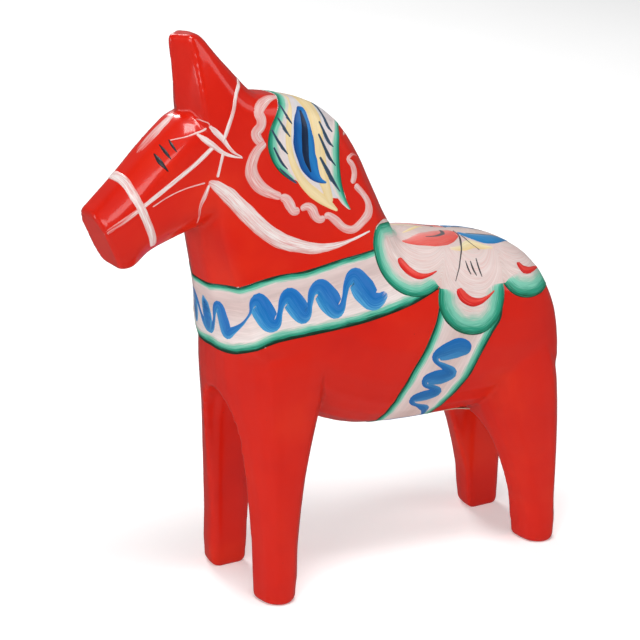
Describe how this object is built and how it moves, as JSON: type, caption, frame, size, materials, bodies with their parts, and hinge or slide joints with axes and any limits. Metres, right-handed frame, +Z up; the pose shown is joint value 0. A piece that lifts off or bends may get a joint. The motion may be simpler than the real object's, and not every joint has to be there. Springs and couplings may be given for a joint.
{
  "type": "dala horse",
  "caption": "Carved wooden toy horse standing on its legs, painted red with folk brushwork, with a small paper label under the belly.",
  "frame": {"origin": "on the floor under the middle of the horse's box", "axes": "+Z up, +X from the head towards the tail end, +Y towards the horse's right side"},
  "size_m": [0.179, 0.0546, 0.2],
  "materials": {
    "lacquered_wood": "gloss",
    "brush_paint": "gloss",
    "label_paper": "matte"
  },
  "bodies": {
    "root": {"carved_body": "lacquered_wood", "belly_label": "label_paper"}
  },
  "joints": []
}
